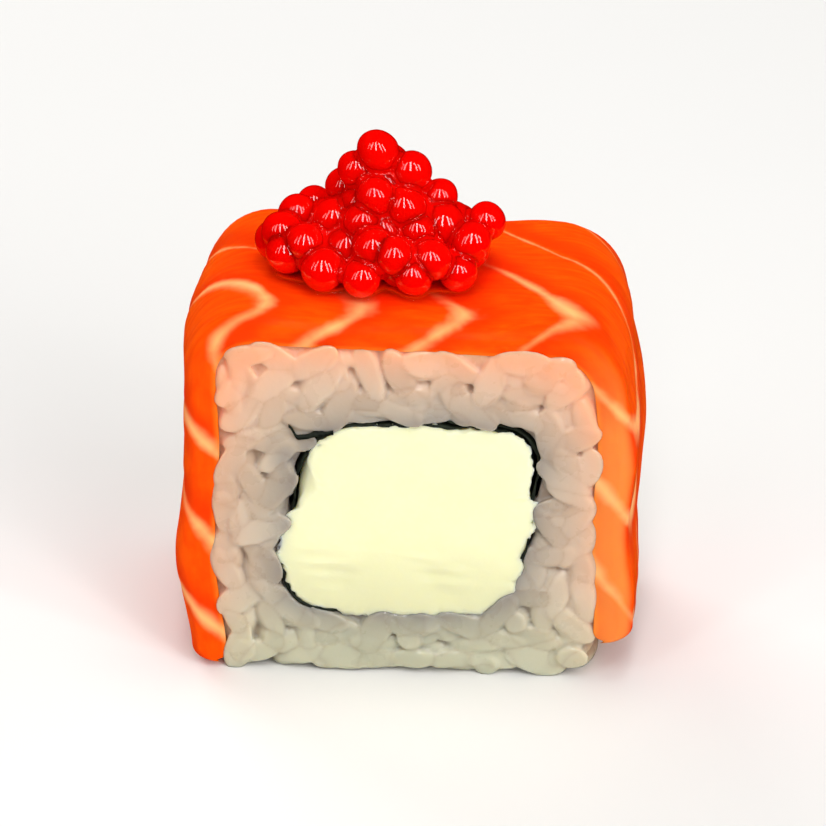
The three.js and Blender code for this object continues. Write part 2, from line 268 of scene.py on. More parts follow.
def rice_depth(x, z):
    """How far a point lies inside the rice's outline."""
    low = z < RICE_HEIGHT / 2
    radius = np.where(low, RICE_FOOT_RADIUS, RICE_TOP_RADIUS)
    beyond_x = np.abs(x) - (HALF_WIDTH - radius)
    beyond_z = np.abs(z - RICE_HEIGHT / 2) - (RICE_HEIGHT / 2 - radius)
    corner = np.hypot(np.maximum(beyond_x, 0), np.maximum(beyond_z, 0))
    return radius - corner - np.minimum(np.maximum(beyond_x, beyond_z), 0)


def cheese_reach(angle):
    """How far the filling reaches from its centre in each direction."""
    across = np.abs(np.cos(angle)) / (CHEESE_WIDTH / 2)
    up = np.abs(np.sin(angle)) / (CHEESE_HEIGHT / 2)
    shaved = np.maximum(0, np.cos(angle - CHEESE_SHAVED_ANGLE)) / CHEESE_SHAVED_REACH
    scooped = np.maximum(0, np.cos(angle - CHEESE_SCOOPED_ANGLE)) / CHEESE_SCOOPED_REACH
    rounded = sum(side**CHEESE_SQUARENESS for side in (across, up, shaved, scooped))
    wavy = sum((depth * np.sin(number * angle + start) for depth, number, start in CHEESE_WAVES), 1)
    return wavy / rounded ** (1 / CHEESE_SQUARENESS)


def around_filling(angle, offset):
    """Points of the filling's outline in those directions, moved out by an offset."""
    def at(a):
        reach = cheese_reach(a)
        return np.stack([reach * np.cos(a), reach * np.sin(a) + CHEESE_CENTRE_Z], -1)

    ahead = at(angle + TANGENT_STEP) - at(angle - TANGENT_STEP)
    ahead /= np.linalg.norm(ahead, axis=-1, keepdims=True)
    out = np.stack([ahead[..., 1], -ahead[..., 0]], -1)
    return at(angle) + out * np.asarray(offset)[..., None]


def nori_standoff(turn):
    """How far the nori's inner face stands off the cheese, along its turn from the inner end."""
    return FILLING_GAP + smoothstep(turn, TAU - NORI_CLIMB, TAU) * (NORI_THICKNESS + FILLING_GAP)


def tunnel_standoff(angle):
    """The tunnel in the rice clears the nori, and stands further out where the sheet lies double."""
    turn = np.mod(angle - NORI_START, TAU)
    doubled = smoothstep(turn, *(NORI_OVERLAP + past for past in TUNNEL_STEP))
    lift = np.maximum(nori_standoff(turn), FILLING_GAP + doubled * (NORI_THICKNESS + FILLING_GAP))
    return lift + NORI_THICKNESS + FILLING_GAP


def tunnel_distance(x, z):
    """How far a point lies outside the tunnel, about."""
    angle = np.arctan2(z - CHEESE_CENTRE_Z, x)
    return np.hypot(x, z - CHEESE_CENTRE_Z) - cheese_reach(angle) - tunnel_standoff(angle)


# Rice: grains that lie in the cuts, the foot and below the right flap, grown together with the block

GRAIN_SPACING = 2.3  # least distance of two grain centres in a layer
GRAIN_TRIES = 5000
GRAIN_TURNS = 4  # directions tried for each grain
GRAIN_SCALE = (0.8, 1.08)
GRAIN_OVERHANG = 0.6  # most that a thrown grain passes the outline or the tunnel's edge
GRAIN_SINK = 0.6  # most that it lies deeper than its layer
GRAIN_LOWEST = 0.9
LAYER_DEPTHS = (0.4, 1.1)  # of the grain centres, below a cut
FLAT_LEAN = (0.05, 0.3)  # of a grain that lies in the cut, into the rice
STEEP_LEAN = (0.9, 1.3)  # and of one that points out of it
STEEP_SHARE = 0.15
STEEP_LENGTH = 0.45  # share of a steep grain's length that shows
BOARD_CLEARANCE = 0.45  # a grain's axis stays this far above the board
FOOT_LEFT_OUT = RICE_FOOT_RADIUS + 0.6  # below this height the foot's round corners don't count

EDGE_SLANT = 1.3  # most that a grain at an edge turns away from it
EDGE_SHIFT = 0.2
EDGE_LEAN = 0.3
EDGE_SINK = 0.5
SALMON_EDGE_START = 2.0
SALMON_EDGE_STEP = 2.8  # from grain to grain along the salmon
SALMON_EDGE_PAST = 0.5  # how far they pass the rice's outline
RING_GRAINS = 30  # round the filling
RING_PAST = 0.6  # how far they pass the tunnel's edge,
RING_PAST_COVERED = 0.15  # more where the cheese hides the nori,
RING_PAST_BARE = 0.45  # and less where the nori lies bare
BARE_TURN = (0.4, 0.2)  # half of that bare stretch, and of its middle
RING_AHEAD = 0.05
FOOT_ROW = (-14.4, 13.0, 3.8)  # first, end and step of the grains along the foot
FOOT_ROW_SHIFT = 0.4
FOOT_ROW_RISE = (1.2, 1.8)
FOOT_ROW_TURN = 0.35
CORNER_GRAIN = (14.6, 2.2, 0.7)  # X, Z and direction of the one at the right end of the foot

UNDERSIDE_HALF = (15.8, 9.0)
UNDERSIDE_SPACING = 2.5
UNDERSIDE_TRIES = 1500
UNDERSIDE_LEAN = 0.2
UNDERSIDE_RISE = 0.9
UNDERSIDE_RISE_MORE = 0.3
FLAP_ROWS = ((1.3, -0.6), (3.4, 1.0))  # height of each row below the flap, and its shift along it
FLAP_GRAINS = 4
FLAP_STEP = 4.6
FLAP_SHIFT = 0.4
FLAP_LEAN = 0.3
FLAP_INSET = (0.7, 1.1)
FLAP_RISE = 0.2

SLICE_DROP = 0.18  # how much lower the knife leaves some grains
SLICE_SLANT = 0.07
SLICE_SOFTNESS = 0.09  # of a sliced grain's rim


def grain_room(x, z, angle, half):
    """How far a lying grain's tips and flanks stay inside the outline and off the tunnel."""
    along = np.array([-1.0, -0.6, 0.6, 1.0]) * half
    flank = np.array([0.0, 0.4, 0.4, 0.0]) * GRAIN_SIZE[0]
    px, pz = x + along * math.cos(angle), z + along * math.sin(angle)
    depth = rice_depth(px, np.maximum(pz, FOOT_LEFT_OUT))
    inside = np.minimum(depth, pz - BOARD_CLEARANCE)
    return float((np.minimum(inside, tunnel_distance(px, pz)) - flank).min())


def grain_reach(x, z, angle):
    """How near a lying grain comes to the tunnel, or how far into it."""
    share = np.linspace(-0.95, 0.95, 9)
    along = share * GRAIN_SIZE[2] / 2
    flank = GRAIN_SIZE[1] / 2 * np.sqrt(1 - share**2)
    return float((tunnel_distance(x + along * math.cos(angle), z + along * math.sin(angle)) - flank).min())


def edge_grains(draw):
    """Centres and directions of the grains along the salmon, round the filling and along the foot."""
    lying = []

    def lay(x, z, along, out_x, out_z, past):
        """Lays a grain at an edge, at a slant to it, so that it passes the edge by so much."""
        slant = draw.uniform(-EDGE_SLANT, EDGE_SLANT)
        reach = math.hypot(GRAIN_SIZE[2] / 2 * math.sin(slant), GRAIN_SIZE[1] / 2 * math.cos(slant))
        inset = reach - past - draw.uniform(-EDGE_SHIFT, EDGE_SHIFT)
        lying.append((x - inset * out_x, z - inset * out_z, along + slant))

    for along in np.arange(SALMON_EDGE_START, SALMON_LENGTH, SALMON_EDGE_STEP):
        x, z, out_x, out_z, _ = (float(np.ravel(v)[0]) for v in salmon_route(np.array([along])))
        lay(x, z, math.atan2(out_z, out_x) + QUARTER, out_x, out_z, SALMON_EDGE_PAST)
    ring = np.arange(0, TAU, TAU / RING_GRAINS)
    edge = around_filling(ring, tunnel_standoff(ring))
    ahead = around_filling(ring + RING_AHEAD, tunnel_standoff(ring + RING_AHEAD))
    bare = smoothstep(ring, *(NORI_BARE - turn for turn in BARE_TURN))
    bare = bare * smoothstep(ring, *(NORI_BARE + turn for turn in BARE_TURN))
    passes = RING_PAST + RING_PAST_COVERED * covered(ring) - RING_PAST_BARE * bare
    for here, there, past in zip(edge, ahead, passes):
        along = math.atan2(there[1] - here[1], there[0] - here[0])
        lay(here[0], here[1], along, -math.sin(along), math.cos(along), past)
        x, z, angle = lying[-1]
        too_far = max(0.0, -past - grain_reach(x, z, angle))
        lying[-1] = (x + too_far * math.sin(along), z - too_far * math.cos(along), angle)
    for x in np.arange(*FOOT_ROW):
        shifted = x + draw.uniform(-FOOT_ROW_SHIFT, FOOT_ROW_SHIFT)
        rise = draw.uniform(*FOOT_ROW_RISE)
        lying.append((shifted, rise, draw.uniform(-FOOT_ROW_TURN, FOOT_ROW_TURN)))
    lying.append(CORNER_GRAIN)
    return lying


def grain_place(side, draw, x, z, angle, lean, depth):
    along_x = Matrix.Rotation(QUARTER, 4, "Y")
    turn = Matrix.Rotation(-angle, 4, "Y") @ Matrix.Rotation(lean, 4, "Z") @ along_x
    roll = Matrix.Rotation(draw.uniform(0, TAU), 4, "Z")
    at = Vector((x, side * (HALF_LENGTH - depth), z))
    return Matrix.Translation(at) @ turn @ roll @ Matrix.Scale(draw.uniform(*GRAIN_SCALE), 4)


def cut_grains(side, draw, depth, lying=()):
    """Places for one layer of grains in a cut: those given, and others thrown like darts and turned
    to where they fit."""
    centres = [(x, z) for x, z, _ in lying]
    places = []
    for x, z, angle in lying:
        lean = draw.uniform(-EDGE_LEAN, EDGE_LEAN)
        sunk = depth + draw.uniform(0, EDGE_SINK)
        places.append(grain_place(side, draw, x, z, angle, lean, sunk))
    for _ in range(GRAIN_TRIES):
        x, z = draw.uniform(-HALF_WIDTH, HALF_WIDTH), draw.uniform(GRAIN_LOWEST, RICE_HEIGHT)
        if any(math.hypot(x - a, z - b) < GRAIN_SPACING for a, b in centres):
            continue
        steep = draw.random() < STEEP_SHARE
        half = GRAIN_SIZE[2] / 2 * (STEEP_LENGTH if steep else 1.0)
        angles = [draw.uniform(0, math.pi) for _ in range(GRAIN_TURNS)]
        angle = max(angles, key=lambda a: grain_room(x, z, a, half))
        if grain_room(x, z, angle, half) < -GRAIN_OVERHANG:
            continue
        centres.append((x, z))
        lean = draw.choice((-1, 1)) * draw.uniform(*(STEEP_LEAN if steep else FLAT_LEAN))
        sunk = depth + draw.uniform(0, GRAIN_SINK)
        places.append(grain_place(side, draw, x, z, angle, lean, sunk))
    return places


def sliced(points, side, draw):
    """One grain as the knife left it: cut off at the piece's end, a little slanting and lower than
    its neighbours."""
    x, y, z = (points - points.mean(0)).T
    level = HALF_LENGTH - abs(draw.gauss(0, SLICE_DROP))
    level = level - draw.gauss(0, SLICE_SLANT) * x - draw.gauss(0, SLICE_SLANT) * z
    level = np.minimum(level, HALF_LENGTH)
    reach = side * points[:, 1]
    softened = np.logaddexp(-reach / SLICE_SOFTNESS, -level / SLICE_SOFTNESS)
    points[:, 1] = -side * SLICE_SOFTNESS * softened
    return points


def foot_grains(draw):
    """Grains in the underside, and those that bulge out below the right flap."""
    centres, places = [], []
    half_x, half_y = UNDERSIDE_HALF
    for _ in range(UNDERSIDE_TRIES):
        x, y = draw.uniform(-half_x, half_x), draw.uniform(-half_y, half_y)
        if any(math.hypot(x - a, y - b) < UNDERSIDE_SPACING for a, b in centres):
            continue
        centres.append((x, y))
        lean = QUARTER + draw.uniform(-UNDERSIDE_LEAN, UNDERSIDE_LEAN)
        turn = Matrix.Rotation(draw.uniform(0, TAU), 4, "Z") @ Matrix.Rotation(lean, 4, "X")
        rise = UNDERSIDE_RISE + draw.uniform(0, UNDERSIDE_RISE_MORE)
        places.append(Matrix.Translation((x, y, rise)) @ turn)
    for height, shift in FLAP_ROWS:
        for number in range(FLAP_GRAINS):
            y = (number - (FLAP_GRAINS - 1) / 2) * FLAP_STEP + shift + draw.uniform(-FLAP_SHIFT, FLAP_SHIFT)
            lean = QUARTER + draw.uniform(-FLAP_LEAN, FLAP_LEAN)
            x = HALF_WIDTH - draw.uniform(*FLAP_INSET)
            rise = height + draw.uniform(-FLAP_RISE, FLAP_RISE)
            places.append(Matrix.Translation((x, y, rise)) @ Matrix.Rotation(lean, 4, "X"))
    return places


def model_grain():
    """One cooked grain: a plump rod, a little bowed, dented, and blunter at one end."""
    blunt, plump, dent, bow = 0.12, 0.08, 0.07, 0.22
    clear_bench()
    bpy.ops.mesh.primitive_uv_sphere_add(segments=24, ring_count=18, radius=1)
    piece = started("grain")
    bpy.ops.object.mode_set(mode="EDIT")
    bpy.ops.mesh.select_all(action="SELECT")
    bpy.ops.transform.resize(value=tuple(size / 2 for size in GRAIN_SIZE))
    bpy.ops.object.mode_set(mode="OBJECT")
    points = points_of(piece)
    along = points[:, 2] / (GRAIN_SIZE[2] / 2)
    points[:, :2] *= (1 + blunt * along * (1 - along**2) + plump * along**2)[:, None]
    points[:, :2] *= (1 + dent * uneven(points, size=1.5, seed=20))[:, None]
    points[:, 0] += bow * (1 - along**2)
    set_points(piece, points)
    return piece


def model_block(name, low_y, high_y, foot, inset):
    """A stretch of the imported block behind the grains, with the tunnel for the filling through it."""
    clear_bench()
    size = (RICE_WIDTH - 2 * inset, high_y - low_y, RICE_HEIGHT - foot - inset)
    middle = (0, (low_y + high_y) / 2, foot + size[2] / 2)
    bpy.ops.mesh.primitive_cube_add(size=1, location=middle, scale=size)
    block = started(name)
    for top, radius in ((True, RICE_TOP_RADIUS), (False, RICE_FOOT_RADIUS)):
        # The four edges that run from cut to cut, two at the top and two at the foot
        select_edges(block, lambda a, b: abs(a.y - b.y) > 1 and (a.z > RICE_HEIGHT / 2) == top)
        bpy.ops.mesh.bevel(offset=radius, offset_type="OFFSET", segments=8)
        bpy.ops.object.mode_set(mode="OBJECT")
    clear_bench()
    bpy.ops.mesh.primitive_cylinder_add(vertices=120, radius=1, depth=2, rotation=(QUARTER, 0, 0))
    tunnel = started("tunnel")
    points = points_of(tunnel)
    angle = np.arctan2(points[:, 2], points[:, 0])
    section = around_filling(angle, tunnel_standoff(angle))
    set_points(tunnel, np.stack([section[:, 0], points[:, 1] * PIECE_LENGTH, section[:, 1]], 1))
    finish_with(block, "BOOLEAN", operation="DIFFERENCE", object=tunnel, solver="EXACT")
    bpy.data.objects.remove(tunnel)
    return block


def tint_rice(piece, places, draw):
    """Tells each point how near it is to salmon and nori, its grain's tone, and how deep in seams or gaps
    it lies. The salmon's nearness drives painted light bleeding from the slice; the nori, the hollow below
    its fold, the seams and the gaps drive painted shade."""
    salmon_reach, nori_reach, pocket_size = 3.2, 1.6, 3
    seam_shade_strength, seam_width = 0.4, 0.12
    points = points_of(piece)
    nearest = np.full((2, len(points)), np.inf)
    owner = np.zeros(len(points), int)
    for number, place in enumerate(places):
        inverse = np.array(place.inverted())
        local = (points @ inverse[:3, :3].T + inverse[:3, 3]) / (np.array(GRAIN_SIZE) / 2)
        distance = np.linalg.norm(local, axis=1)
        closer = distance < nearest[0]
        owner[closer] = number
        nearest[1] = np.where(closer, nearest[0], np.minimum(nearest[1], distance))
        nearest[0] = np.minimum(nearest[0], distance)
    tone = np.array([draw.random() for _ in places])[owner]
    x, y, z = points.T
    from_top = np.maximum(RICE_HEIGHT - z, 0)
    from_side = np.maximum(HALF_WIDTH - np.abs(x), 0)
    # Painted light: the salmon's colour, as light bleeding through the rice from the slice, grows stronger
    # up the sides, and most of all at the upper corners
    side_light_bleed = 0.5 * smoothstep(z, -4, 14) + 0.45 * smoothstep(z, 20, 32)
    salmon_light_bleed = np.exp(-from_top / salmon_reach) + side_light_bleed * np.exp(-from_side / salmon_reach)
    salmon_light_bleed = np.minimum(salmon_light_bleed, 1)
    # Painted shade: the rice darkens near the nori, as in its shadow, and in a patch below the folded
    # corner
    nori_shade = np.exp(-np.maximum(tunnel_distance(x, z), 0) / nori_reach)
    pocket_shade = np.exp(-((x - SHADED_POCKET[0]) ** 2 + (z - SHADED_POCKET[1]) ** 2) / pocket_size)
    nori_shade = np.maximum(nori_shade, pocket_shade)
    # Painted shade: darker in the seams where two grains meet, and in the gaps that lie deeper than the cut
    seam_shade = seam_shade_strength * np.exp(-(nearest[1] - nearest[0]) / seam_width)
    behind_cut = HALF_LENGTH - np.abs(y)
    gap_shade = smoothstep(behind_cut, 0.4, 1.0) * smoothstep(z, 0.3, 1.5)
    tint = np.stack([salmon_light_bleed, nori_shade, tone, np.maximum(seam_shade, gap_shade)], 1)
    add_attribute(piece, "rice_tone_light_and_shade", "FLOAT_COLOR", tint)


def fuse_rice(block, grain, copies, places, voxel, draw):
    """Grains and block grown together, and levelled by the board."""
    rice = joined(block.name + "_grains", grain, copies)
    take(rice)
    block.select_set(True)
    bpy.ops.object.join()
    finish_with(rice, "REMESH", mode="VOXEL", voxel_size=voxel)
    finish_with(rice, "SMOOTH", factor=0.5, iterations=1)
    points = points_of(rice)
    points[:, 2] = np.maximum(points[:, 2], 0)
    set_points(rice, points)
    tint_rice(rice, places, draw)
    return rice


def model_cut_rice(name, side, draw):
    outer = HALF_LENGTH - RICE_RELIEF
    low, high = sorted((side * outer, side * (outer - RICE_PLATE)))
    block = model_block(name, low, high, foot=1.3, inset=-0.2)
    shown, behind = LAYER_DEPTHS
    places = cut_grains(side, draw, shown, edge_grains(draw)) + cut_grains(side, draw, behind)
    grain = model_grain()
    copies = [sliced(points, side, draw) for points in copies_at(grain, places)]
    return fuse_rice(block, grain, copies, places, CUT_VOXEL, draw)


def model_middle_rice(draw):
    overlap = 0.3
    inner = HALF_LENGTH - RICE_RELIEF - RICE_PLATE + overlap
    block = model_block("rice_middle", -inner, inner, foot=0.8, inset=0.0)
    places = foot_grains(draw)
    grain = model_grain()
    return fuse_rice(block, grain, copies_at(grain, places), places, MIDDLE_VOXEL, draw)


# Filling

# Stretches round the filling, in degrees, where the cheese hides the nori's cut edge. The one at the
# foot begins and ends at these, and each of the others has its share, its beginning and its end.
HIDDEN_FOOT = ((232, 246), (-18, -28))
HIDDEN_SIDES = ((0.9, (-8, -2), (14, 8)), (0.45, (16, 24), (66, 56)), (0.7, (174, 180), (210, 202)))

CUT_GRIP = 1.7  # how deep behind a cut the cheese still bulges out at its rim
CHEESE_LIP = 0.45  # how far it bulges out there,
CHEESE_OVER_NORI = 0.75  # more where it hides the nori,
CHEESE_SMEAR = 1.2  # where it is smeared out at the lower right,
CHEESE_TORN = 1.5  # and how far the shaved side is torn back
NORI_RADIUS = 11  # of the sheet's turn, about
NORI_COVERED = 1.2  # how far the sheet's edge lies back where the cheese hides it


def covered(angle):
    """How much the cheese hides the nori's cut edge in each direction."""
    degrees = np.mod(np.degrees(angle) + 90, 360) - 90
    hidden = sum(smoothstep(degrees, *edge) for edge in HIDDEN_FOOT)
    for share, begins, ends in HIDDEN_SIDES:
        hidden = hidden + share * smoothstep(degrees, *begins) * smoothstep(degrees, *ends)
    return np.clip(hidden, 0, 1)


def model_cheese():
    """A bar with a crumbly rim at its cuts, and the knife's drag marks low on them."""
    crowding = 1.6  # its points lie closer together towards the cuts
    clear_bench()
    bpy.ops.mesh.primitive_cube_add(size=2)
    piece = started("cream_cheese_bar")
    bpy.ops.object.mode_set(mode="EDIT")
    bpy.ops.mesh.select_all(action="SELECT")
    bpy.ops.mesh.subdivide(number_cuts=79)
    bpy.ops.object.mode_set(mode="OBJECT")
    x, y, z = points_of(piece).T
    ring = np.maximum(np.abs(x), np.abs(z))
    angle = np.arctan2(z * CHEESE_HEIGHT, x * CHEESE_WIDTH)
    from_cut = HALF_LENGTH * (1 - np.abs(y)) ** crowding
    reach = cheese_reach(angle) - rounding(from_cut, radius=0.6)
    outward = np.stack([np.cos(angle), 0 * y, np.sin(angle)], 1)
    points = outward * (ring * reach)[:, None]
    points[:, 1] = np.sign(y) * (HALF_LENGTH - from_cut)
    rim = outward * reach[:, None]
    rim[:, 1] = points[:, 1]
    crumbly = 0.4 * uneven(rim, size=0.8, seed=1) + 0.4 * uneven(rim, size=2.2, seed=2)
    crumbly = crumbly + 0.25 * uneven(rim, size=0.5, seed=22)
    at_cut = smoothstep(from_cut, CUT_GRIP, 0.0)
    grip = at_cut * smoothstep(ring, 0.8, 1.0)
    torn = hump(np.mod(angle, TAU) - CHEESE_SHAVED_ANGLE, width=0.2)
    low_right = hump(angle - CHEESE_SCOOPED_ANGLE + 0.35, width=0.4)
    smeared = low_right * np.maximum(uneven(rim, size=1.3, seed=19), 0)
    hidden = covered(angle)
    crumbs = crumbly * (1 + 0.5 * hidden) * (1 - 0.6 * torn)
    lip = grip * (crumbs + CHEESE_LIP + CHEESE_OVER_NORI * hidden + CHEESE_SMEAR * smeared)
    lip -= CHEESE_TORN * torn * at_cut * smoothstep(ring, 0.4, 1.0)
    points += outward * lip[:, None]
    hollow = uneven(points, size=6.0, seed=4)
    streaks = uneven(points * (0.4, 1, 1.6), size=1.6, seed=3)
    drag = streaks * smoothstep(points[:, 2], -2, -5) * smoothstep(hollow, -0.2, 0.3)
    edge = smoothstep(ring, 0.84, 1.0) ** 2
    sunk = 0.1 + 0.4 * drag + 0.15 * hollow + (0.2 + 0.35 * crumbly) * edge
    points[:, 1] -= np.sign(y) * np.maximum(sunk, -0.05) * smoothstep(from_cut, 1.0, 0.0)
    points[:, 2] += CHEESE_CENTRE_Z
    set_points(piece, points)
    return piece


def model_nori():
    """A thin sheet wound once round the filling, rippled, with frayed cut edges."""
    turns = TAU + NORI_OVERLAP
    clear_bench()
    bpy.ops.mesh.primitive_grid_add(x_subdivisions=300, y_subdivisions=40, size=2)
    piece = started("nori_sheet")
    finish_with(piece, "SOLIDIFY", thickness=1.0, offset=0)
    x, y, z = points_of(piece).T
    turn = (x + 1) / 2 * turns
    flat = np.stack([turn * NORI_RADIUS, y * HALF_LENGTH, 0 * z], 1)
    ripple = 0.1 * uneven(flat, size=2.0, seed=6) + 0.1 * uneven(flat, size=0.8, seed=7)
    thick = NORI_THICKNESS * np.maximum(0.25, 0.5 + 0.6 * uneven(flat, size=1.2, seed=8))
    offset = nori_standoff(turn) + NORI_THICKNESS / 2 + ripple + z * thick
    section = around_filling(NORI_START + turn, offset)
    frayed = HALF_LENGTH - 0.35 + 0.35 * uneven(flat, size=1.3, seed=9)
    frayed = frayed - NORI_COVERED * covered(NORI_START + turn)
    set_points(piece, np.stack([section[:, 0], y * frayed, section[:, 1]], 1))
    return piece


def model_nori_fold():
    """The corner of the sheet that stands out into the rice at the upper left."""
    slope, tip_rise, proud = 0.22, 1.5, 0.08
    clear_bench()
    bpy.ops.mesh.primitive_grid_add(x_subdivisions=24, y_subdivisions=40, size=2)
    piece = started("nori_fold")
    finish_with(piece, "SOLIDIFY", thickness=1.0, offset=0)
    x, y, z = points_of(piece).T
    start = around_filling(np.array([NORI_FOLD_ANGLE]), np.array([0.4]))[0]
    along = (x + 1) / 2 * NORI_FOLD
    flat = np.stack([along, y * HALF_LENGTH, 0 * z], 1)
    wavy = 0.16 * uneven(flat, size=1.1, seed=16) + z * NORI_THICKNESS * (1 - 0.4 * along / NORI_FOLD)
    front = HALF_LENGTH + proud - 0.1 * np.abs(uneven(flat, size=0.8, seed=17))
    turned_up = tip_rise * smoothstep(along / NORI_FOLD, 0.8, 1.0)
    height = start[1] - slope * along + wavy + turned_up
    set_points(piece, np.stack([start[0] - along, y * front, height], 1))
    return piece


# Salmon

SALMON_PATCHES = (0.47, 0.33)  # how fast the thickness varies along and across the slice
SALMON_RAGGED = 0.004  # share of its length by which its ends are ragged
OUTER_ROUNDING = 1.4
INNER_END_ROUNDING = 1.1
INNER_CUT_ROUNDING = 0.15
UNDERCUT = 0.035  # share by which the slice is narrower at its lower face
STAIN_FADE = 4  # how fast the roe's stain fades from the heap


def salmon_route(along):
    """Points of the way round the rice, and the direction out of it, at lengths along it."""
    top = RICE_HEIGHT - RICE_TOP_RADIUS
    shoulder = HALF_WIDTH - RICE_TOP_RADIUS
    arc = QUARTER * RICE_TOP_RADIUS
    lengths = [top - SALMON_LEFT_END, arc, 2 * shoulder, arc, top - SALMON_RIGHT_END]
    starts = np.concatenate([[0], np.cumsum(lengths)])
    left, arc1, flat, arc2, right = (along - start for start in starts[:-1])
    turn1 = np.clip(arc1 / RICE_TOP_RADIUS, 0, QUARTER)
    turn2 = np.clip(arc2 / RICE_TOP_RADIUS, 0, QUARTER)
    on_left, on_arc1, on_flat, on_arc2 = (along < start for start in starts[1:-1])
    x = np.select(
        [on_left, on_arc1, on_flat, on_arc2],
        [np.full_like(along, -HALF_WIDTH), -shoulder - RICE_TOP_RADIUS * np.cos(turn1), -shoulder + flat,
         shoulder + RICE_TOP_RADIUS * np.sin(turn2)], HALF_WIDTH)
    z = np.select(
        [on_left, on_arc1, on_flat, on_arc2],
        [SALMON_LEFT_END + left, top + RICE_TOP_RADIUS * np.sin(turn1), np.full_like(along, RICE_HEIGHT),
         top + RICE_TOP_RADIUS * np.cos(turn2)], top - right)
    facing = np.select([on_arc1, on_flat], [math.pi - turn1, QUARTER + 0 * along], QUARTER - turn2)
    return x, z, np.cos(facing), np.sin(facing), starts[-1]


SALMON_LENGTH = float(salmon_route(np.zeros(1))[4])


def salmon_thickness(along, y):
    hanging = np.cos(TAU * along / SALMON_LENGTH)
    patchy = np.sin(SALMON_PATCHES[0] * along + SALMON_PATCHES[1] * y)
    return SALMON_THICKNESS * (1 + SALMON_SAG * hanging + SALMON_UNEVEN * patchy)


def salmon_top(x, y):
    """Height of the slice's upper face on the flat of the top."""
    to_flat = RICE_HEIGHT - RICE_TOP_RADIUS - SALMON_LEFT_END + QUARTER * RICE_TOP_RADIUS
    along = to_flat + x + HALF_WIDTH - RICE_TOP_RADIUS
    return RICE_HEIGHT + SALMON_GAP + salmon_thickness(along, y)


def fat_lines(along, y, depth):
    """Which fat line a point of the slice lies at, in line spacings, and how far along the line's arm
    it is."""
    flat = np.stack([along, y, 0 * y], 1)
    arm = np.hypot(y - FAT_APEX_Y, FAT_BEND) - FAT_BEND
    wander = FAT_WANDER * uneven(flat, size=9.0, seed=21)
    return (along - FAT_SHIFT + arm - FAT_LEAN * depth + wander) / FAT_SPACING, arm


def model_salmon():
    """A flat slab with rounded edges and shallow grooves at its fat lines, draped round the rice."""
    clear_bench()
    bpy.ops.mesh.primitive_grid_add(x_subdivisions=320, y_subdivisions=72, size=2)
    piece = started("salmon_slice")
    finish_with(piece, "SOLIDIFY", thickness=1.0, offset=-1)
    v, w, t = points_of(piece).T
    y = HALF_LENGTH * np.sin(QUARTER * w)
    share = 0.5 + 0.5 * np.sin(QUARTER * v)
    ragged = SALMON_RAGGED * (1 + np.sin(0.4 * y + 1))
    along = SALMON_LENGTH * (share + np.where(share < 0.5, ragged, -ragged) * np.abs(2 * share - 1) ** 4)
    from_end = SALMON_LENGTH * np.minimum(share, 1 - share)
    from_cut = HALF_LENGTH - np.abs(y)
    phase, _ = fat_lines(along, y, SALMON_THICKNESS)
    from_line = np.abs(np.mod(phase, 1) - 0.5) * FAT_SPACING
    flat = np.stack([along, y, 0 * y], 1)
    lift = 0.12 * uneven(flat, size=3.5, seed=12) - 0.1 * hump(from_line, width=0.8)
    upper = salmon_thickness(along, y) + lift
    upper = upper - rounding(from_cut, OUTER_ROUNDING) - rounding(from_end, OUTER_ROUNDING)
    lower = rounding(from_end, INNER_END_ROUNDING) + rounding(from_cut, INNER_CUT_ROUNDING)
    depth = lower + (upper - lower) * (t + 1)
    y *= 1 + UNDERCUT * t
    px, pz, nx, nz, _ = salmon_route(along)
    set_points(piece, np.stack([px + nx * (SALMON_GAP + depth), y, pz + nz * (SALMON_GAP + depth)], 1))
    add_attribute(piece, "flesh", "FLOAT_VECTOR", np.stack([along, y, depth], 1))
    heap_x, heap_y = (px - ROE_CENTRE[0]) / ROE_HALF_LENGTH, (y - ROE_CENTRE[1]) / ROE_HALF_WIDTH
    around_heap = np.hypot(heap_x, heap_y) - 1
    stain = np.exp(-np.maximum(around_heap, 0) * STAIN_FADE) * (pz > RICE_HEIGHT - 1)
    phase, arm = fat_lines(along, y, depth)
    add_attribute(piece, "fat", "FLOAT_VECTOR", np.stack([phase, arm, stain], 1))
    return piece


# Roe

FILLER_TRIES = 6000
FILLER_SCALE = (0.9, 1.05)
FILLER_SQUEEZE = 0.6  # distance of the beads then, as a share of touching spheres
FILLER_DEPTH = 0.2  # how far below the heap's outer height the added beads stay
BEAD_DENT = 0.025
WET_SWELL = 0.2  # how far the heap is swollen to close its creases,
WET_SINK = 0.06  # how much further it is shrunk back,
WET_VOXEL = 0.17  # and its fineness
JUICE_DEPTH = 0.7
JUICE_SINK = 0.3  # how far the pool lies below the foot of the beads
JUICE_UNDERSIDE = -0.1
JUICE_LEAST_REACH = 2.0
JUICE_BEADS = 0.7  # beads whose middle lies below this share of a diameter stand in it
JUICE_SHARE = 0.85  # of a bead's radius that the juice reaches past its middle
JUICE_SOFTNESS = 0.08  # turn to each side over which the rim is evened out
JUICE_FULL = 1.5  # distance in from the rim where the film is at its thickest


def random_from(seed):
    """A small random generator, the same one that drops the beads of the heap's solid."""
    state = seed

    def draw():
        nonlocal state
        state = (state + 0x6D2B79F5) & 0xFFFFFFFF
        mixed = ((state ^ (state >> 15)) * (state | 1)) & 0xFFFFFFFF
        mixed ^= (mixed + (mixed ^ (mixed >> 7)) * (mixed | 61)) & 0xFFFFFFFF
        return ((mixed ^ (mixed >> 14)) & 0xFFFFFFFF) / 4294967296

    return draw


